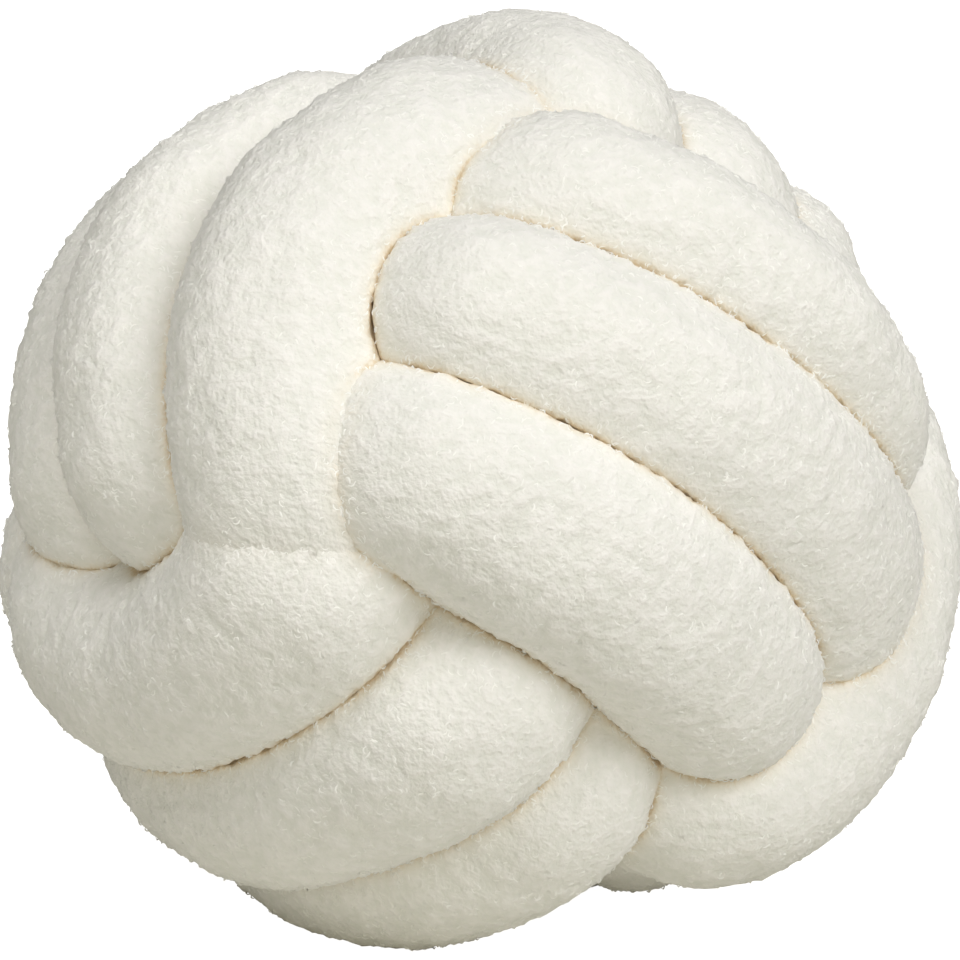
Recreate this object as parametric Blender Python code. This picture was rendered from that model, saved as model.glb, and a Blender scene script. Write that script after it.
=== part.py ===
"""Knot ball cushion: a stuffed tube of cream boucle wound into a three-strand ball knot.

The tube goes three times round each way, as in a monkey's fist. Each of the six faces of
the ball shows three strands side by side, and their ends duck under the next face's bundle.
The cushion is one filled solid, in metres, +Z up, resting on the plane z = 0.
"""

import math

import bmesh
import bpy
from mathutils import Euler, Vector

# The finished ball and its tube.
BALL_RADIUS = 0.150
TUBE_RADIUS = 0.030
TUCKED_SHARE = 0.82  # the tube's radius where it is squeezed under a bundle, of the free one
CORE_RADIUS = 0.110  # the stuffing in the middle that the inner turns are pressed into
REST_CUT = 0.005  # the depth of the flat spot that the ball's weight makes

# How a turn of the tube runs round the ball. Angles are in degrees, seen from the centre.
STATION = 40.0  # from the middle of a face to where a strand comes in and goes out
OVERRUN = 1.2  # how far a strand's curve is followed past its stations
DIVE_DEPTH = 0.054  # how far the middle line has sunk when it is under the next bundle
DIVE_HALF = 18.0  # half the angle that a strand takes to sink
FACE_SHARPNESS = 0.9  # how quickly one face's row gives way to the other's, out of sight

# The ball's turn on its resting plane, as Euler angles.
KNOT_TURN = (141.6, -21.7, -53.2)

# One row for each strand that shows: a bundle of three shows on two opposite faces. In, mid
# and out are a strand's stations on its face. Across is its angle to the face's middle, proud
# is how far it stands out of the ball and wide how much wider it is than the tube, in mm, and
# ends is the angle at which it is half sunk. Fat is how much thicker it is, in mm.
COLUMNS = (
    "bundle", "face", "place",
    "across_in", "across_mid", "across_out",
    "proud_in", "proud_mid", "proud_out",
    "wide_in", "wide_mid", "wide_out",
    "ends_in", "ends_out", "fat",
)
STRANDS = (
    (0, +1, +1, 29, 29, 27, 0, 0, 0, 0, 3, 1, 48, 48, 1),
    (0, +1, +0, 6, 5, 5, 0, 0, 0, 0, 0, 0, 47, 47, 0),
    (0, +1, -1, -21, -21, -20, 2, 5, -6, 3, 3, 0, 46, 44, 3),
    (0, -1, +1, 26, 29, 29, 0, 3, 8, 0, 0, 3, 47, 57, 0),
    (0, -1, +0, 0, 1, 4, 0, 0, 0, 0, 0, 0, 47, 50, 0),
    (0, -1, -1, -22, -23, -21, 0, 0, 0, 0, 0, 0, 47, 47, 0),
    (1, +1, +1, 31, 28, 25, -9, 0, 0, 10, 4, 4, 52, 50, 3),
    (1, +1, +0, -3, -3, 3, -5, 0, 0, 2, 0, 0, 52, 44, 0),
    (1, +1, -1, -27, -26, -20, -2, 0, -2, 0, 0, 0, 50, 42, 0),
    (1, -1, +1, 30, 31, 26, -5, 10, 10, 0, 0, 1, 47, 53, 2),
    (1, -1, +0, 4, 3, 2, 0, 1, -6, 0, 0, 0, 47, 50, 0),
    (1, -1, -1, -21, -22, -21, 0, 0, 0, 0, 0, 0, 47, 47, 0),
    (2, +1, +1, 36, 33, 24, 7, 1, 0, 4, 2, -2, 50, 49, 2),
    (2, +1, +0, 10, 8, 4, 3, 2, 0, 4, 2, 1, 50, 44, 1),
    (2, +1, -1, -12, -17, -20, 3, 1, -2, 6, 0, -2, 52, 43, 0),
    (2, -1, +1, 22, 25, 23, 0, 0, 0, 2, 3, 2, 47, 53, 2),
    (2, -1, +0, 0, 0, -3, 0, -3, -8, 0, 0, 1, 47, 53, 0),
    (2, -1, -1, -22, -23, -22, 0, -3, -5, 0, 0, 0, 47, 50, 0),
)

# Steps of the mesh, and the cloth's finish.
TURN_STEPS = 72
SECTION_STEPS = 20
CORE_LEVELS = 4
WELD = 0.0001  # points nearer than this along a seam become one
GROOVE_ANGLE = 40.0  # a sharper edge than this is a groove between strands
NODE = "knotted_tube"
CREAM = (0.87, 0.85, 0.79, 1.0)
ROUGHNESS = 0.95
MM = 0.001


def clear_scene():
    for obj in list(bpy.data.objects):
        bpy.data.objects.remove(obj, do_unlink=True)


def knot_axes():
    """The three directions of the knot: the first, second and third bundle's face."""
    turn = Euler([math.radians(a) for a in KNOT_TURN]).to_matrix()
    return [turn.col[i].normalized() for i in range(3)]


def strand_rows():
    """The table as {(bundle, face, place): {column: value}}."""
    rows = [dict(zip(COLUMNS, row)) for row in STRANDS]
    return {(r["bundle"], r["face"], r["place"]): r for r in rows}


def ease(share):
    """0 to 1 with level ends."""
    share = min(1.0, max(0.0, share))
    return math.sin(share * math.pi / 2) ** 2


def through_stations(row, column, side):
    """A value that follows the row's three stations, at the sine of an angle round the face."""
    into, mid, out = (row[f"{column}_{station}"] for station in ("in", "mid", "out"))
    share = max(-OVERRUN, min(OVERRUN, side / math.sin(math.radians(STATION))))
    return mid + (out - into) / 2 * share + ((out + into) / 2 - mid) * share**2


def turn_point(axes, rows, bundle, place, angle):
    """One turn's middle line at an angle, as (point, half thickness, half width)."""
    long, along, across = (axes[(bundle + i) % 3] for i in range(3))
    side = math.sin(angle)
    front = ease(0.5 + FACE_SHARPNESS * math.cos(angle))
    near, far = rows[bundle, +1, place], rows[bundle, -1, place]

    def blend(column):
        here, there = (through_stations(row, column, side) for row in (near, far))
        return here * front + there * (1 - front)

    row = near if math.cos(angle) > 0 else far
    ends = row["ends_out"] if side > 0 else row["ends_in"]
    from_face = math.degrees(math.acos(min(1.0, abs(math.cos(angle)))))
    dive = ease((from_face - ends + DIVE_HALF) / (2 * DIVE_HALF))
    squeeze = 1 - (1 - TUCKED_SHARE) * dive
    thick = TUBE_RADIUS + (near["fat"] * front + far["fat"] * (1 - front)) * MM
    wide = thick + blend("wide") * MM
    tilt = math.radians(blend("across"))
    reach = BALL_RADIUS - thick + blend("proud") * MM - DIVE_DEPTH * dive
    way = math.cos(angle) * long + side * along
    point = reach * (math.cos(tilt) * way + math.sin(tilt) * across)
    return point, thick * squeeze, wide * squeeze


def tube_mesh(name, line):
    """A closed ring of tube round a closed line of (point, half thickness, half width)."""
    verts, faces = [], []
    count = len(line)
    for i, (point, thick, wide) in enumerate(line):
        ahead = (line[(i + 1) % count][0] - line[i - 1][0]).normalized()
        out = (point - point.dot(ahead) * ahead).normalized()
        side = ahead.cross(out)
        for j in range(SECTION_STEPS):
            a = 2 * math.pi * j / SECTION_STEPS
            verts.append(point + thick * math.cos(a) * out + wide * math.sin(a) * side)
    for i in range(count):
        here, there = i * SECTION_STEPS, (i + 1) % count * SECTION_STEPS
        for j in range(SECTION_STEPS):
            k = (j + 1) % SECTION_STEPS
            faces.append((here + j, there + j, there + k, here + k))
    mesh = bpy.data.meshes.new(name)
    mesh.from_pydata(verts, [], faces)
    return mesh


def add_object(name, mesh):
    obj = bpy.data.objects.new(name, mesh)
    bpy.context.scene.collection.objects.link(obj)
    return obj


def make_turns():
    """The nine turns of the tube, each a closed ring round the ball's centre."""
    axes, rows = knot_axes(), strand_rows()
    angles = [2 * math.pi * i / TURN_STEPS for i in range(TURN_STEPS)]
    turns = []
    for bundle in range(3):
        for place in (-1, 0, 1):
            line = [turn_point(axes, rows, bundle, place, angle) for angle in angles]
            name = f"turn_{bundle}_{place + 1}"
            turns.append(add_object(name, tube_mesh(name, line)))
    return turns


def ball_centre(turns):
    """Where the ball's centre is: its box stands over the origin, sunk by the flat spot."""
    points = [vert.co for turn in turns for vert in turn.data.vertices]
    low, high = ([pick(p[i] for p in points) for i in range(3)] for pick in (min, max))
    return Vector((-(low[0] + high[0]) / 2, -(low[1] + high[1]) / 2, -low[2] - REST_CUT))


def make_core(centre):
    """The stuffing in the middle, which fills the space between the tucked turns."""
    bpy.ops.mesh.primitive_ico_sphere_add(subdivisions=CORE_LEVELS, radius=CORE_RADIUS, location=centre)
    core = bpy.context.object
    core.name = NODE
    return core


def make_floor_block():
    """The block below z = 0 that cuts the flat spot."""
    size = 4 * BALL_RADIUS
    bpy.ops.mesh.primitive_cube_add(size=size, location=(0, 0, -size / 2))
    block = bpy.context.object
    block.name = "floor_block"
    return block


def combine(obj, others, operation):
    """One exact Boolean of obj with all the others, which it uses up."""
    group = bpy.data.collections.new(f"{operation.lower()}_group")
    bpy.context.scene.collection.children.link(group)
    for other in others:
        group.objects.link(other)
    change = obj.modifiers.new(operation.lower(), "BOOLEAN")
    change.operation = operation
    change.operand_type = "COLLECTION"
    change.collection = group
    change.solver = "EXACT"
    change.use_self = True
    with bpy.context.temp_override(object=obj, active_object=obj):
        bpy.ops.object.modifier_apply(modifier=change.name)
    for other in others:
        bpy.data.objects.remove(other, do_unlink=True)
    bpy.data.collections.remove(group)


def islands(bm):
    """The mesh's faces in their connected groups."""
    left = set(bm.faces)
    while left:
        group, search = set(), [left.pop()]
        while search:
            face = search.pop()
            group.add(face)
            near = {other for edge in face.edges for other in edge.link_faces} & left
            search += near
            left -= near
        yield list(group)


def clean_skin(obj):
    """Welds tiny edges along the seams and fills hollows sealed between turns and core."""
    bm = bmesh.new()
    bm.from_mesh(obj.data)
    bmesh.ops.triangulate(bm, faces=bm.faces)
    bmesh.ops.remove_doubles(bm, verts=bm.verts, dist=WELD)
    bmesh.ops.dissolve_degenerate(bm, edges=bm.edges, dist=WELD)
    skins = sorted(islands(bm), key=lambda group: sum(face.calc_area() for face in group))
    for hollow in skins[:-1]:
        bmesh.ops.delete(bm, geom=hollow, context="FACES")
    bm.to_mesh(obj.data)
    bm.free()


def finish_cloth(obj):
    """Shades the strands smooth with sharp grooves and gives them the cloth."""
    obj.data.shade_smooth()
    obj.data.set_sharp_from_angle(angle=math.radians(GROOVE_ANGLE))
    cloth = bpy.data.materials.new("boucle_cloth")
    cloth.use_nodes = True
    shader = cloth.node_tree.nodes["Principled BSDF"]
    shader.inputs["Base Color"].default_value = CREAM
    shader.inputs["Roughness"].default_value = ROUGHNESS
    shader.inputs["Metallic"].default_value = 0.0
    obj.data.materials.clear()
    obj.data.materials.append(cloth)


def main():
    clear_scene()
    turns = make_turns()
    centre = ball_centre(turns)
    for turn in turns:
        turn.location = centre
    ball = make_core(centre)
    combine(ball, turns, "UNION")
    combine(ball, [make_floor_block()], "DIFFERENCE")
    clean_skin(ball)
    finish_cloth(ball)


if __name__ == "__main__":
    main()
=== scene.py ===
import math

import bpy
import numpy as np
from mathutils import Euler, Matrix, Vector
from mathutils.bvhtree import BVHTree


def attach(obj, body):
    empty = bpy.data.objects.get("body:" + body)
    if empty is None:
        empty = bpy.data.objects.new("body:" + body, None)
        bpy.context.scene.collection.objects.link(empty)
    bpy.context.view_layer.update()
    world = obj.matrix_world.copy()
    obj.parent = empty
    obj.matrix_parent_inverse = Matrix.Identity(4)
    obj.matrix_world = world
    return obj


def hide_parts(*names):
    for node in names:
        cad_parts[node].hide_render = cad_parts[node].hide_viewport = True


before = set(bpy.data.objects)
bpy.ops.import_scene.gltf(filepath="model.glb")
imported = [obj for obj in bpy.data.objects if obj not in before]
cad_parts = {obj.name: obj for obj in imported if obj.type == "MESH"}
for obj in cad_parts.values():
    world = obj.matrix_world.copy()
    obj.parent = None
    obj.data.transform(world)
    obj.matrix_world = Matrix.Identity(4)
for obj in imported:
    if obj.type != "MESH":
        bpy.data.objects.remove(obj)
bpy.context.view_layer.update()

MM = 0.001
CAD_NODE = "knotted_tube"

# The ball and its tube, which sinks a little more steeply than the part's.
BALL_RADIUS = 0.150
TUBE_RADIUS = 0.030
TUCKED_SHARE = 0.74
BALL_CENTRE = (-0.00133, 0.00104, 0.13934)

# How a turn of the tube runs round the ball. Angles are in degrees, seen from the centre.
STATION = 40.0
OVERRUN = 1.2
DIVE_DEPTH = 0.054
DIVE_HALF = 15.0
FACE_SHARPNESS = 0.9
KNOT_TURN = (141.6, -21.7, -53.2)

# One row for each strand that shows: its angles across its face, how far it stands out, how
# much wider it is than the tube, where its ends sink, and how much thicker it is, in mm.
COLUMNS = (
    "bundle", "face", "place",
    "across_in", "across_mid", "across_out",
    "proud_in", "proud_mid", "proud_out",
    "wide_in", "wide_mid", "wide_out",
    "ends_in", "ends_out", "fat",
)
STRANDS = (
    (0, +1, +1, 29, 29, 27, 0, 4, 3.5, 0, 3, 1, 48, 48, 1),
    (0, +1, +0, 4, 4, 4.5, 0, 0, 0, 6, 3.5, 1, 58, 47, 0),
    (0, +1, -1, -12.7, -18.2, -20, 2, 5, -6, -13, -3, 0, 43, 44, 2.5),
    (0, -1, +1, 26, 29, 29, 0, 3, 8, 0, 0, 3, 47, 57, 0),
    (0, -1, +0, 0, 1, 4, 0, 0, 0, 0, 0, 0, 47, 50, 0),
    (0, -1, -1, -22, -23, -21, 0, 0, 0, 0, 0, 0, 47, 47, 0),
    (1, +1, +1, 31, 28.5, 29, -9, 0, 2, 10, 4, 4, 52, 55, 3),
    (1, +1, +0, -3, -2.5, 6.5, -8, 0, -3, 2, 0, 1, 52, 42, 0),
    (1, +1, -1, -27, -26, -18, 4, 2, -3, 0, 0, 0, 50, 42, 0),
    (1, -1, +1, 30, 31, 26, -5, 10, 10, 0, 0, 1, 47, 53, 2),
    (1, -1, +0, 4, 3, 2, 0, 1, -6, 0, 0, 0, 47, 50, 0),
    (1, -1, -1, -21, -22, -21, 0, 0, 0, 0, 0, 0, 47, 47, 0),
    (2, +1, +1, 36, 31.5, 34.5, 8, 2, 4, 4, 2, 8, 50, 45, 2),
    (2, +1, +0, 10, 8, 2.5, 3, 2, 2, 4, 2, 1, 50, 45, 1),
    (2, +1, -1, -12, -17, -20, 8, 1, -1, 6, 0, -2, 52, 38, 0),
    (2, -1, +1, 22, 25, 23, 0, 0, 0, 2, 3, 2, 47, 53, 2),
    (2, -1, +0, 0, 0, -3, 0, -3, -8, 0, 0, 1, 47, 53, 0),
    (2, -1, -1, -22, -23, -22, 0, -3, -5, 0, 0, 0, 47, 50, 0),
)

# The cloth cage of a turn, before it is made finer.
SHOWN_REACH = 62.0  # degrees each side of a face's middle where a strand can be seen
SHOWN_STEPS = 48  # steps along one shown stretch
HIDDEN_STEPS = 5  # steps along one hidden stretch
OUTER_REACH = 98.0  # degrees each side of a section's outermost point that can be seen
OUTER_STEPS = 15
INNER_STEPS = 3
SECTION_POWER = 2.2  # 2 is an ellipse, and more has fuller shoulders
FINE_LEVELS = 2

# The stuffing and how the turns press each other.
SLACK = 0.8 * MM  # how much thinner the empty cloth is than the stuffed tube
PRESSURE = 12.0
STRETCH = 2.0
FILL_FRAMES = 20
FILL_CAP = 5.0 * MM
PRESS_ROUNDS = 4
FIRMNESS = 0.12  # how little an upper turn gives way to one that sinks under it
PRESS_REACH = 14.0 * MM

# Crevices between turns, and the flat spot.
CREVICE = "crevice"
OPEN_CLOTH = "open_cloth"
TUFT = "tuft"
TUFT_RANGE = 0.5 * MM  # how far a tuft's top or pit is from the cloth's mean height
CREVICE_REACH = 11.0 * MM
MESH_REACH = 10.0 * MM  # the pile of two turns that face each other meshes when this close
FACING_GAIN = 1.5  # how soon skins that are turned to each other count as facing
ALIKE_POWER = 6  # how nearly two skins must lie the same way to make no crevice
LUMPS_LOST = 0.7  # how much of the soft lumps a crevice goes without
FLOOR_SOFTNESS = 0.6 * MM
FLOOR_REACH = 8 * FLOOR_SOFTNESS

# The pile's raised forms: name, grain and height in mm, and whether turns that touch have it too.
RELIEF = (
    ("soft_lumps", 32.0, 3.0, False),
    ("tufts", 5.0, 1.7, True),
    ("curls", 2.8, 1.6, True),
)
SMOOTHED = 0.4  # how much the light sees the plain cloth and not the raised pile

# The loose curls of yarn: how many, how long and thick, and where they stand.
SEED = 7
LOOSE_CURLS = 7500  # on each wrap
CURL_POINTS = 4
CURL_LENGTH = (1.2 * MM, 2.6 * MM)
CURL_RISE = (0.2 * MM, 0.8 * MM)
CURL_THICKNESS = (0.2 * MM, 0.36 * MM)
CURL_FACING = -0.15  # how far a spot may be turned to the ball's middle
CURL_REACH = 0.095  # from the ball's middle
CURL_REACH_LOW = 2.0 * MM  # from the floor
CURL_OPEN = 0.97  # the crevice mark past which no curl stands
CURL_CROWD = 2.0  # how much closer together curls stand beside a crevice
CURL_SMOOTHED = 0.7
CURL_LIFT = 0.15  # how much more light a curl takes from above than its own side would
CURL_SIDES = 3
CURL_BOW = 0.5  # how far a curl bends sideways, of its length
CURL_LEAN = 0.6
CURL_START, CURL_SPAN = 0.12, 0.8  # the part of a half wave that a curl's rise follows
CURL_TIP = 0.55  # a tip's thickness, of the middle's
# painted highlight: the yarn's own cream, made lighter than the cloth's so that the loose curls
# read as bright specks
LOOSE_COLOUR = (1.0, 0.985, 0.93, 1)
LOOSE_ROUGHNESS = 0.6

# The cloth's finish: the grain and height of its fine curls, and its colours, with painted shade
# in the pile's pits and in the crevices between turns.
TUFTS_PER_METRE = 360.0
TUFT_DETAIL = 1.5
FUZZ_GRAIN = 2.6
FUZZ_DETAIL = 1.0
FUZZ_SHARE = 0.4
MEAN_HEIGHT = 0.7
SHADE_GAIN = 1.6
CURL_HEIGHT = 0.75 * MM
CURL_COLOUR = (0.94, 0.917, 0.872, 1)
# painted shade: the pile takes this darker, greener colour where it is low, in the pits between
# tufts
PIT_SHADE_COLOUR = (0.87, 0.862, 0.80, 1)
# painted shade: a warm, darker band beside each crevice between turns
FOLD_SHADE_COLOUR = (0.89, 0.845, 0.75, 1)
FOLD_POWER = 3.2  # how close to a crevice the painted fold shade keeps
# painted shade: a tan-brown line where two turns touch, ragged with the fuzz
ROOT_SHADE_COLOUR = (0.76, 0.65, 0.48, 1)
ROOT_POWER = 13.0
ROOT_RAGGED = 0.25
SPECULAR = 0.2
SHEEN = 0.1
SHEEN_ROUGHNESS = 0.6
MIX_SOCKETS = (0, 6, 7)  # a mix node's share and its two colours
MIX_COLOUR = 2

# The studio: camera, lights (name, azimuth, height, strength, spread, colour) and floor.
CAMERA_RISE = 12.0  # degrees, as all angles here
CAMERA_DISTANCE = 9 * BALL_RADIUS
PHOTO_SIDE = 960
PHOTO_CENTRE = (474.94, 480.1)
PHOTO_RADIUS = 470.06
SENSOR = 36
WHITE = (1, 1, 1)
WARM = (1.0, 0.98, 0.84)
LIGHTS = (
    ("front_right", 45, 38, 1.65, 35, WHITE),
    ("high_left", -40, 68, 1.1, 35, WHITE),
    ("front", 0, 15, 0.42, 35, WARM),
    ("low_left", -60, 8, 0.31, 35, WARM),
    ("right", 90, 60, 0.15, 35, WARM),
)
WORLD_STRENGTH = 0.03
FLOOR_SIDE = 60
FLOOR_GLOW = 0.96
FLOOR_COLOUR = (0.7, 0.69, 0.63, 1)
LIGHT_BOUNCES = 10


def ease(share):
    """0 to 1 with level ends."""
    share = min(1.0, max(0.0, share))
    return math.sin(share * math.pi / 2) ** 2


def knot_axes():
    """The three directions of the knot: the first, second and third bundle's face."""
    turn = Euler([math.radians(a) for a in KNOT_TURN]).to_matrix()
    return [turn.col[i].normalized() for i in range(3)]


def through_stations(row, column, side):
    """A value that follows the row's three stations, at the sine of an angle round the face."""
    into, mid, out = (row[f"{column}_{station}"] for station in ("in", "mid", "out"))
    share = max(-OVERRUN, min(OVERRUN, side / math.sin(math.radians(STATION))))
    return mid + (out - into) / 2 * share + ((out + into) / 2 - mid) * share**2


def turn_point(axes, rows, bundle, place, angle):
    """One turn's middle line at an angle, as (point, half thickness, half width, how far sunk)."""
    long, along, across = (axes[(bundle + i) % 3] for i in range(3))
    side = math.sin(angle)
    front = ease(0.5 + FACE_SHARPNESS * math.cos(angle))
    near, far = rows[bundle, +1, place], rows[bundle, -1, place]

    def blend(column):
        here, there = (through_stations(row, column, side) for row in (near, far))
        return here * front + there * (1 - front)

    row = near if math.cos(angle) > 0 else far
    ends = row["ends_out"] if side > 0 else row["ends_in"]
    from_face = math.degrees(math.acos(min(1.0, abs(math.cos(angle)))))
    dive = ease((from_face - ends + DIVE_HALF) / (2 * DIVE_HALF))
    squeeze = 1 - (1 - TUCKED_SHARE) * dive
    thick = TUBE_RADIUS + (near["fat"] * front + far["fat"] * (1 - front)) * MM
    wide = thick + blend("wide") * MM
    tilt = math.radians(blend("across"))
    reach = BALL_RADIUS - thick + blend("proud") * MM - DIVE_DEPTH * dive
    way = math.cos(angle) * long + side * along
    point = reach * (math.cos(tilt) * way + math.sin(tilt) * across)
    return point, thick * squeeze, wide * squeeze, dive


def uneven_steps(first, last, steps):
    """Even angles from first up to last, without last, in radians."""
    return [math.radians(first + (last - first) * i / steps) for i in range(steps)]


def round_the_ball():
    """Angles along a turn, close together on the two faces where it shows."""
    angles = []
    for middle in (0.0, 180.0):
        angles += uneven_steps(middle - SHOWN_REACH, middle + SHOWN_REACH, SHOWN_STEPS)
        angles += uneven_steps(middle + SHOWN_REACH, middle + 180 - SHOWN_REACH, HIDDEN_STEPS)
    return angles


def round_the_tube():
    """Angles round a section, close together on the side that shows."""
    outer = uneven_steps(-OUTER_REACH, OUTER_REACH, OUTER_STEPS)
    return outer + uneven_steps(OUTER_REACH, 360 - OUTER_REACH, INNER_STEPS)


def full(value):
    """A cosine or sine made fuller for a section with round shoulders."""
    return math.copysign(abs(value) ** (2 / SECTION_POWER), value)


def select_only(obj):
    bpy.ops.object.select_all(action="DESELECT")
    obj.select_set(True)
    bpy.context.view_layer.objects.active = obj


def apply_modifier(obj, modifier):
    select_only(obj)
    bpy.ops.object.modifier_apply(modifier=modifier.name)


def read_points(obj):
    points = np.empty(len(obj.data.vertices) * 3)
    obj.data.vertices.foreach_get("co", points)
    return points.reshape(-1, 3)


def read_normals(obj):
    normals = np.empty(len(obj.data.vertices) * 3)
    obj.data.vertices.foreach_get("normal", normals)
    return normals.reshape(-1, 3)


def write_points(obj, points):
    obj.data.vertices.foreach_set("co", np.ascontiguousarray(points).ravel())
    obj.data.update()


def make_strand(name, line, slack):
    """A closed turn of the tube: a ring laid along the turn's line, its skin facing out."""
    sections = round_the_tube()
    bpy.ops.object.select_all(action="DESELECT")
    bpy.ops.mesh.primitive_torus_add(
        major_segments=len(line),
        minor_segments=len(sections),
        major_radius=BALL_RADIUS - TUBE_RADIUS,
        minor_radius=TUBE_RADIUS,
    )
    strand = bpy.context.object
    strand.name = strand.data.name = name
    centre = Vector(BALL_CENTRE)
    points = []
    for i, (point, thick, wide, _) in enumerate(line):
        ahead = (line[(i + 1) % len(line)][0] - line[i - 1][0]).normalized()
        out = (point - point.dot(ahead) * ahead).normalized()
        side = out.cross(ahead)
        for a in sections:
            points.append(
                centre
                + point
                + (thick - slack) * full(math.cos(a)) * out
                + (wide - slack) * full(math.sin(a)) * side
            )
    write_points(strand, np.array(points))
    return strand


def make_strands(slack):
    axes = knot_axes()
    rows = [dict(zip(COLUMNS, row)) for row in STRANDS]
    rows = {(r["bundle"], r["face"], r["place"]): r for r in rows}
    angles = round_the_ball()
    strands, sunk = [], []
    for bundle in range(3):
        for place in (-1, 0, 1):
            line = [turn_point(axes, rows, bundle, place, angle) for angle in angles]
            strands.append(make_strand(f"wrap_{bundle + 1}_strand_{place + 2}", line, slack))
            sunk.append(np.repeat([dive for *_, dive in line], len(round_the_tube())))
    return strands, sunk


def stuff(strands):
    """Fills the cloth: each turn swells under pressure, by no more than the cap."""
    starts = [read_points(strand) for strand in strands]
    for strand in strands:
        cloth = strand.modifiers.new("filling", "CLOTH")
        cloth.settings.use_pressure = True
        cloth.settings.uniform_pressure_force = PRESSURE
        cloth.settings.effector_weights.gravity = 0.0
        cloth.settings.tension_stiffness = STRETCH
        cloth.settings.compression_stiffness = STRETCH
        cloth.settings.shear_stiffness = STRETCH
        cloth.point_cache.frame_end = FILL_FRAMES
    for number in range(1, FILL_FRAMES + 1):
        bpy.context.scene.frame_set(number)
    for strand, start in zip(strands, starts):
        apply_modifier(strand, strand.modifiers["filling"])
        move = read_points(strand) - start
        length = np.linalg.norm(move, axis=1, keepdims=True)
        move *= np.minimum(1.0, FILL_CAP / np.maximum(length, 1e-9))
        write_points(strand, start + move)
    bpy.context.scene.frame_set(1)


def skin_tree(strand, points):
    faces = [tuple(face.vertices) for face in strand.data.polygons]
    return BVHTree.FromPolygons([Vector(p) for p in points], faces)


def near_box(points, others, reach):
    """The numbers of the points that lie in the others' box, grown by the reach."""
    low, high = others.min(axis=0) - reach, others.max(axis=0) + reach
    return np.nonzero(((points > low) & (points < high)).all(axis=1))[0]


def press_together(strands, sunk):
    """Where two turns overlap, they give way until they meet, the one that sinks the most.
    It goes under the other and isn't lifted out over it."""
    for _ in range(PRESS_ROUNDS):
        skins = [read_points(strand) for strand in strands]
        trees = [skin_tree(strand, skin) for strand, skin in zip(strands, skins)]
        for i, strand in enumerate(strands):
            pressed = skins[i].copy()
            for j, tree in enumerate(trees):
                if j == i:
                    continue
                corners = strands[j].data.polygons
                for k in near_box(skins[i], skins[j], 0.0):
                    here = Vector(skins[i][k])
                    near, normal, face, gap = tree.find_nearest(here, PRESS_REACH)
                    if near is None or (here - near).dot(normal) >= 0:
                        continue
                    mine, other = sunk[i][k], sunk[j][corners[face].vertices[0]]
                    share = (FIRMNESS + mine) / (2 * FIRMNESS + mine + other)
                    if mine > other:
                        outward = (here - Vector(BALL_CENTRE)).normalized()
                        share *= 1 - max(0.0, normal.dot(outward))
                    pressed[k] += np.array(normal) * gap * share
            write_points(strand, pressed)


def crevices(strands):
    """Parts turns that overlap, meshes the pile of those that nearly touch, and marks each
    point by how near another turn is, 1 where they touch."""
    skins = [read_points(strand) for strand in strands]
    trees = [skin_tree(strand, skin) for strand, skin in zip(strands, skins)]
    for i, strand in enumerate(strands):
        pressed = skins[i].copy()
        own = read_normals(strand)
        tucked = np.zeros(len(pressed))
        for j, tree in enumerate(trees):
            if j == i:
                continue
            for k in near_box(skins[i], skins[j], CREVICE_REACH):
                here = Vector(skins[i][k])
                near, normal, _, gap = tree.find_nearest(here, CREVICE_REACH)
                if near is None:
                    continue
                turned = normal.dot(Vector(own[k]))
                facing = min(1.0, FACING_GAIN * max(0.0, -turned))
                if (here - near).dot(normal) < 0:
                    pressed[k] += np.array(normal) * gap / 2 * facing
                    gap = 0.0
                elif gap < MESH_REACH:
                    meet = min(1.0, 2 - 2 * gap / MESH_REACH) / 2 * facing
                    pressed[k] += np.array(near - here) * meet
                    gap *= 1 - 2 * meet
                alike = max(0.0, turned) ** ALIKE_POWER
                tucked[k] = max(tucked[k], (1 - gap / CREVICE_REACH) * (1 - alike))
        write_points(strand, pressed)
        mark = strand.data.attributes.new(CREVICE, "FLOAT", "POINT")
        mark.data.foreach_set("value", tucked.astype(np.float32))
        group = strand.vertex_groups.new(name=OPEN_CLOTH)
        share = np.round(1 - LUMPS_LOST * tucked, 1)
        for value in np.unique(share):
            group.add(np.nonzero(share == value)[0].tolist(), float(value), "REPLACE")


def pile_relief(strand):
    """Raises the cloth's soft lumps, clumps of curls and single curls."""
    for name, grain, height, everywhere in RELIEF:
        texture = bpy.data.textures.new(name, "CLOUDS")
        texture.noise_scale = grain * MM
        texture.noise_depth = 1
        raised = strand.modifiers.new(name, "DISPLACE")
        raised.texture = texture
        raised.texture_coords = "LOCAL"
        raised.mid_level = 0.5
        raised.strength = height * MM
        if not everywhere:
            raised.vertex_group = OPEN_CLOTH
        apply_modifier(strand, raised)
        if not everywhere:
            flat, normals = read_points(strand), read_normals(strand)
    strand.vertex_groups.clear()
    rise = ((read_points(strand) - flat) * normals).sum(axis=1)
    rise = np.clip(0.5 + rise / (2 * TUFT_RANGE), 0, 1)
    mark = strand.data.attributes.new(TUFT, "FLOAT", "POINT")
    mark.data.foreach_set("value", rise.astype(np.float32))
    seen = SMOOTHED * normals + (1 - SMOOTHED) * read_normals(strand)
    seen /= np.linalg.norm(seen, axis=1, keepdims=True)
    strand.data.normals_split_custom_set_from_vertices(seen.tolist())


def rest_on_floor(strand):
    """Flattens what would sink below the resting plane."""
    points = read_points(strand)
    height = points[:, 2]
    low = height < FLOOR_REACH
    points[low, 2] = FLOOR_SOFTNESS * np.log1p(np.exp(height[low] / FLOOR_SOFTNESS))
    write_points(strand, points)


def new_group(name, inputs, outputs):
    group = bpy.data.node_groups.new(name, "ShaderNodeTree")
    for socket, kind in inputs:
        group.interface.new_socket(name=socket, in_out="INPUT", socket_type=kind)
    for socket, kind in outputs:
        group.interface.new_socket(name=socket, in_out="OUTPUT", socket_type=kind)
    given, out = group.nodes.new("NodeGroupInput"), group.nodes.new("NodeGroupOutput")
    return group, given.outputs, out.inputs


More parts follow.
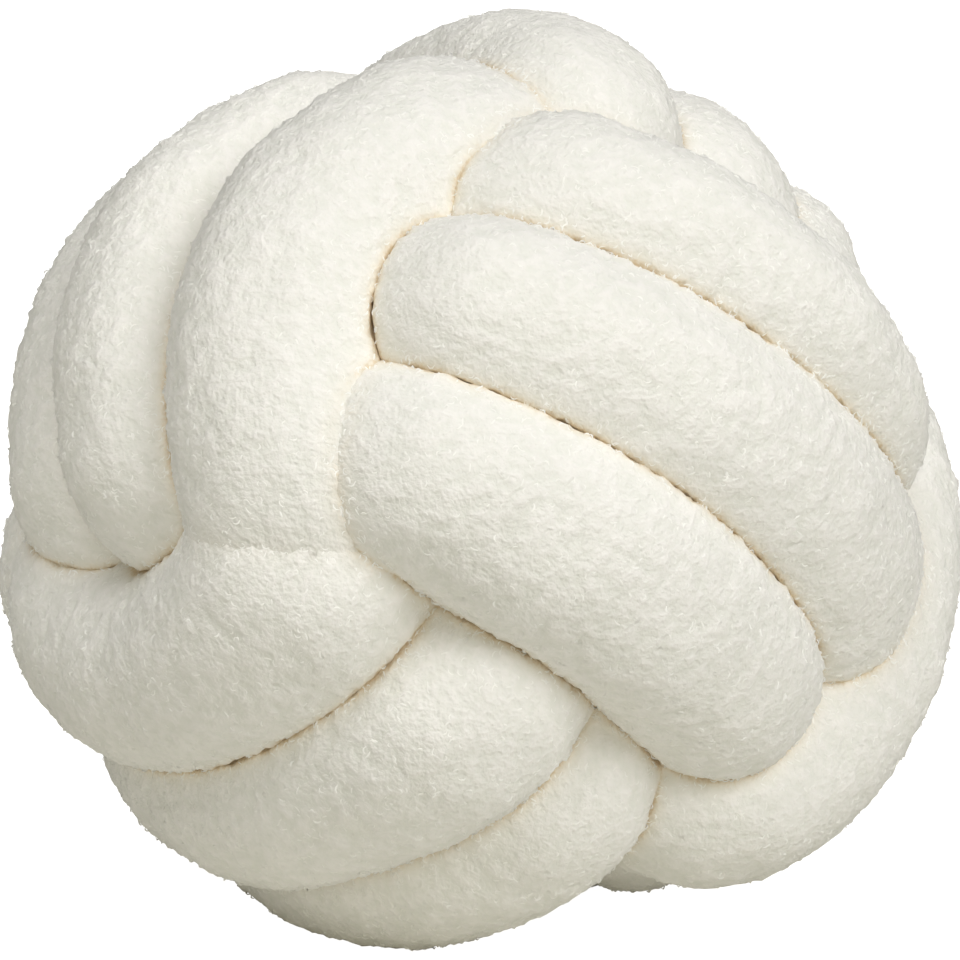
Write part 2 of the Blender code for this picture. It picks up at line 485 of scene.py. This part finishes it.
def math_node(tree, operation, *values, clamp=False):
    node = tree.nodes.new("ShaderNodeMath")
    node.operation = operation
    node.use_clamp = clamp
    for socket, value in zip(node.inputs, values):
        if isinstance(value, (int, float)):
            socket.default_value = value
        else:
            tree.links.new(value, socket)
    return node.outputs[0]


def scaled(tree, vector, scale):
    node = tree.nodes.new("ShaderNodeVectorMath")
    node.operation = "SCALE"
    tree.links.new(vector, node.inputs["Vector"])
    tree.links.new(scale, node.inputs["Scale"])
    return node.outputs["Vector"]


def noise(tree, vector, scale, detail):
    node = tree.nodes.new("ShaderNodeTexNoise")
    node.inputs["Scale"].default_value = scale
    node.inputs["Detail"].default_value = detail
    tree.links.new(vector, node.inputs["Vector"])
    return node.outputs[0]


def mixed(tree, share, first, second):
    """A colour between two, as far towards the second as the share says."""
    node = tree.nodes.new("ShaderNodeMix")
    node.data_type = "RGBA"
    for socket, value in zip(MIX_SOCKETS, (share, first, second)):
        tree.links.new(value, node.inputs[socket])
    return node.outputs[MIX_COLOUR]


def curly_pile():
    """Curls of yarn in tufts: their colour, with painted shade in the pits and crevices, and their
    height.
    """
    inputs = (
        ("Place", "NodeSocketVector"),
        ("Tufts per metre", "NodeSocketFloat"),
        ("Curl colour", "NodeSocketColor"),
        ("Painted pit shade", "NodeSocketColor"),
        ("Painted fold shade", "NodeSocketColor"),
        ("Painted root shade", "NodeSocketColor"),
        ("Crevice", "NodeSocketFloat"),
        ("Tuft", "NodeSocketFloat"),
    )
    outputs = (("Colour", "NodeSocketColor"), ("Height", "NodeSocketFloat"))
    tree, given, out = new_group("curly_pile", inputs, outputs)
    place = scaled(tree, given["Place"], given["Tufts per metre"])
    tufts = noise(tree, place, 1.0, TUFT_DETAIL)
    fuzz = noise(tree, place, FUZZ_GRAIN, FUZZ_DETAIL)
    height = math_node(tree, "ADD", tufts, math_node(tree, "MULTIPLY", fuzz, FUZZ_SHARE))
    # painted shade: the lower the pile here, the more of the darker pit colour it takes
    above = math_node(tree, "SUBTRACT", height, MEAN_HEIGHT)
    body = math_node(tree, "MULTIPLY", above, SHADE_GAIN)
    shade = math_node(tree, "ADD", body, given["Tuft"], clamp=True)
    colour = mixed(tree, shade, given["Painted pit shade"], given["Curl colour"])
    # painted shade: the band beside a crevice darkens towards it
    near = math_node(tree, "POWER", given["Crevice"], FOLD_POWER)
    colour = mixed(tree, near, colour, given["Painted fold shade"])
    # painted shade: the tan-brown line where two turns touch
    ragged = math_node(tree, "MULTIPLY", math_node(tree, "SUBTRACT", fuzz, 0.5), ROOT_RAGGED)
    touching = math_node(tree, "ADD", given["Crevice"], ragged, clamp=True)
    deep = math_node(tree, "POWER", touching, ROOT_POWER)
    colour = mixed(tree, deep, colour, given["Painted root shade"])
    tree.links.new(colour, out["Colour"])
    tree.links.new(height, out["Height"])
    return tree


def new_material(name):
    material = bpy.data.materials.new(name)
    material.use_nodes = True
    return material, material.node_tree, material.node_tree.nodes["Principled BSDF"]


def boucle_cloth():
    cloth, tree, shader = new_material("boucle_cloth")
    place = tree.nodes.new("ShaderNodeTexCoord").outputs["Object"]
    pile = tree.nodes.new("ShaderNodeGroup")
    pile.node_tree = curly_pile()
    tree.links.new(place, pile.inputs["Place"])
    for attribute, socket in ((CREVICE, "Crevice"), (TUFT, "Tuft")):
        mark = tree.nodes.new("ShaderNodeAttribute")
        mark.attribute_name = attribute
        tree.links.new(mark.outputs["Fac"], pile.inputs[socket])
    for socket, value in (
        ("Tufts per metre", TUFTS_PER_METRE),
        ("Curl colour", CURL_COLOUR),
        ("Painted pit shade", PIT_SHADE_COLOUR),
        ("Painted fold shade", FOLD_SHADE_COLOUR),
        ("Painted root shade", ROOT_SHADE_COLOUR),
    ):
        pile.inputs[socket].default_value = value
    bump = tree.nodes.new("ShaderNodeBump")
    bump.inputs["Strength"].default_value = 1.0
    bump.inputs["Distance"].default_value = CURL_HEIGHT
    tree.links.new(pile.outputs["Height"], bump.inputs["Height"])
    tree.links.new(bump.outputs["Normal"], shader.inputs["Normal"])
    tree.links.new(pile.outputs["Colour"], shader.inputs["Base Color"])
    shader.inputs["Roughness"].default_value = 1.0
    shader.inputs["Specular IOR Level"].default_value = SPECULAR
    shader.inputs["Sheen Weight"].default_value = SHEEN
    shader.inputs["Sheen Roughness"].default_value = SHEEN_ROUGHNESS
    return cloth


def open_spots(strand, count, chance):
    """Random spots on a turn's open cloth, as points, normals and one tangent each."""
    mesh = strand.data
    points = read_points(strand)
    tucked = np.empty(len(points), np.float32)
    mesh.attributes[CREVICE].data.foreach_get("value", tucked)
    corners = np.empty(len(mesh.polygons) * 4, np.int32)
    mesh.polygons.foreach_get("vertices", corners)
    corners = corners.reshape(-1, 4)
    a, b, c, d = (points[corners[:, i]] for i in range(4))
    across = np.cross(c - a, d - b)
    area = np.linalg.norm(across, axis=1) / 2
    normals = across / np.maximum(2 * area, 1e-12)[:, None]
    middle = (a + b + c + d) / 4
    outward = middle - np.array(BALL_CENTRE)
    far = np.linalg.norm(outward, axis=1)
    facing = (normals * outward).sum(axis=1) / far
    shown = (facing > CURL_FACING) & (far > CURL_REACH) & (middle[:, 2] > CURL_REACH_LOW)
    beside = tucked[corners].mean(axis=1)
    shown &= beside < CURL_OPEN
    weight = area * shown * (1 + CURL_CROWD * beside)
    chosen = chance.choice(len(weight), count, p=weight / weight.sum())
    u, v = chance.random((2, count, 1))
    top = a[chosen] * (1 - u) + b[chosen] * u
    low = d[chosen] * (1 - u) + c[chosen] * u
    along = b[chosen] - a[chosen]
    along /= np.linalg.norm(along, axis=1)[:, None]
    return top * (1 - v) + low * v, normals[chosen], along


def between(chance, pair, count):
    return chance.uniform(pair[0], pair[1], (count, 1, 1))


def loose_curls(name, strands, chance):
    """Short loops of yarn that stand out of the pile, joined in one mesh."""
    share = LOOSE_CURLS // len(strands)
    spots = [open_spots(strand, share, chance) for strand in strands]
    base, normal, along = (np.concatenate(part)[:, None, :] for part in zip(*spots))
    count = len(base)
    turn = chance.uniform(0, 2 * math.pi, (count, 1, 1))
    side = np.cross(normal, along)
    way = np.cos(turn) * along + np.sin(turn) * side
    aside = np.cross(normal, way)
    s = np.linspace(0, 1, CURL_POINTS)[None, :, None]
    bow = chance.uniform(-1, 1, (count, 1, 1))
    length = between(chance, CURL_LENGTH, count)
    rise = between(chance, CURL_RISE, count)
    lean = chance.uniform(-CURL_LEAN, CURL_LEAN, (count, 1, 1))
    line = base + way * (s - 0.5) * length
    line = line + aside * bow * CURL_BOW * length * np.sin(math.pi * s)
    arch = np.sin(math.pi * (CURL_START + CURL_SPAN * s))
    line = line + (normal + lean * aside) * rise * arch
    line = line - normal * CURL_THICKNESS[0]
    taper = CURL_TIP + (1 - CURL_TIP) * np.sin(math.pi * s)
    thickness = between(chance, CURL_THICKNESS, count) * taper
    sides = []
    for k in range(CURL_SIDES):
        angle = 2 * math.pi * k / CURL_SIDES
        sides.append(line + thickness * (math.cos(angle) * normal + math.sin(angle) * aside))
    verts = np.stack(sides, axis=2).reshape(-1, 3)
    last = CURL_POINTS * CURL_SIDES - 1
    first = np.arange(count)[:, None] * (last + 1)
    quads = []
    for ring in range(CURL_POINTS - 1):
        for k in range(CURL_SIDES):
            here, there = (ring * CURL_SIDES + i for i in (k, (k + 1) % CURL_SIDES))
            quads.append([here, here + CURL_SIDES, there + CURL_SIDES, there])
    ends = [[0, 1, 2], [last, last - 1, last - 2]]
    quads = (first[:, :, None] + np.array(quads)[None]).reshape(-1, 4)
    ends = (first[:, :, None] + np.array(ends)[None]).reshape(-1, 3)
    mesh = bpy.data.meshes.new(name)
    mesh.from_pydata(verts, [], quads.tolist() + ends.tolist())
    curls = bpy.data.objects.new(name, mesh)
    bpy.context.scene.collection.objects.link(curls)
    mesh.shade_smooth()
    real = read_normals(curls).reshape(count, -1, 3)
    seen = CURL_SMOOTHED * normal + (1 - CURL_SMOOTHED) * real
    seen[:, :, 2] += CURL_LIFT
    seen /= np.linalg.norm(seen, axis=2, keepdims=True)
    mesh.normals_split_custom_set_from_vertices(seen.reshape(-1, 3).tolist())
    curls.visible_shadow = False
    curls.visible_diffuse = False
    return curls


def loose_yarn():
    yarn, _, shader = new_material("loose_yarn")
    shader.inputs["Base Color"].default_value = LOOSE_COLOUR
    shader.inputs["Roughness"].default_value = LOOSE_ROUGHNESS
    return yarn


def pale_floor():
    bpy.ops.object.select_all(action="DESELECT")
    bpy.ops.mesh.primitive_plane_add(size=FLOOR_SIDE)
    floor = bpy.context.object
    floor.name = "floor"
    pale, tree, shader = new_material("pale_floor")
    shader.inputs["Base Color"].default_value = FLOOR_COLOUR
    shader.inputs["Roughness"].default_value = 1.0
    shader.inputs["Specular IOR Level"].default_value = 0.0
    shader.inputs["Emission Color"].default_value = (*WHITE, 1)
    seen = tree.nodes.new("ShaderNodeLightPath").outputs["Is Camera Ray"]
    glow = math_node(tree, "MULTIPLY", seen, FLOOR_GLOW)
    tree.links.new(glow, shader.inputs["Emission Strength"])
    floor.data.materials.append(pale)


def place_camera():
    rise = math.radians(CAMERA_RISE)
    back = Vector((0, -math.cos(rise), math.sin(rise)))
    data = bpy.data.cameras.new("camera")
    camera = bpy.data.objects.new("camera", data)
    bpy.context.scene.collection.objects.link(camera)
    camera.location = Vector(BALL_CENTRE) + CAMERA_DISTANCE * back
    camera.rotation_mode = "QUATERNION"
    camera.rotation_quaternion = (-back).to_track_quat("-Z", "Y")
    data.sensor_width = SENSOR
    data.lens = PHOTO_RADIUS * CAMERA_DISTANCE / BALL_RADIUS / PHOTO_SIDE * data.sensor_width
    data.shift_x = (PHOTO_SIDE / 2 - PHOTO_CENTRE[0]) / PHOTO_SIDE
    data.shift_y = (PHOTO_CENTRE[1] - PHOTO_SIDE / 2) / PHOTO_SIDE
    bpy.context.scene.camera = camera


def place_lights():
    for name, azimuth, height, strength, spread, colour in LIGHTS:
        around, rise = math.radians(azimuth), math.radians(height)
        toward = Vector((
            math.sin(around) * math.cos(rise),
            -math.cos(around) * math.cos(rise),
            math.sin(rise),
        ))
        data = bpy.data.lights.new(name, "SUN")
        data.energy = strength
        data.color = colour
        data.angle = math.radians(spread)
        light = bpy.data.objects.new(name, data)
        bpy.context.scene.collection.objects.link(light)
        light.rotation_mode = "QUATERNION"
        light.rotation_quaternion = toward.to_track_quat("Z", "Y")
    world = bpy.data.worlds.new("studio")
    bpy.context.scene.world = world
    world.use_nodes = True
    tree = world.node_tree
    glow = tree.nodes["Background"]
    glow.inputs["Color"].default_value = (*WHITE, 1)
    seen = tree.nodes.new("ShaderNodeLightPath").outputs["Is Camera Ray"]
    strength = math_node(tree, "MAXIMUM", seen, WORLD_STRENGTH)
    tree.links.new(strength, glow.inputs["Strength"])


strands, sunk = make_strands(SLACK)
stuff(strands)
press_together(strands, sunk)
for strand in strands:
    finer = strand.modifiers.new("finer", "SUBSURF")
    finer.levels = finer.render_levels = FINE_LEVELS
    apply_modifier(strand, finer)
    strand.data.shade_smooth()
crevices(strands)
for strand in strands:
    pile_relief(strand)
    rest_on_floor(strand)

chance = np.random.default_rng(SEED)
yarn = loose_yarn()
for wrap in range(3):
    curls = loose_curls(f"loose_curls_{wrap + 1}", strands[3 * wrap : 3 * wrap + 3], chance)
    curls.data.materials.append(yarn)
    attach(curls, "root")
cloth = boucle_cloth()
for strand in strands:
    strand.data.materials.clear()
    strand.data.materials.append(cloth)
    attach(strand, "root")
    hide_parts(CAD_NODE)

pale_floor()
place_camera()
place_lights()
bpy.context.scene.view_settings.view_transform = "Standard"
bpy.context.scene.cycles.diffuse_bounces = LIGHT_BOUNCES
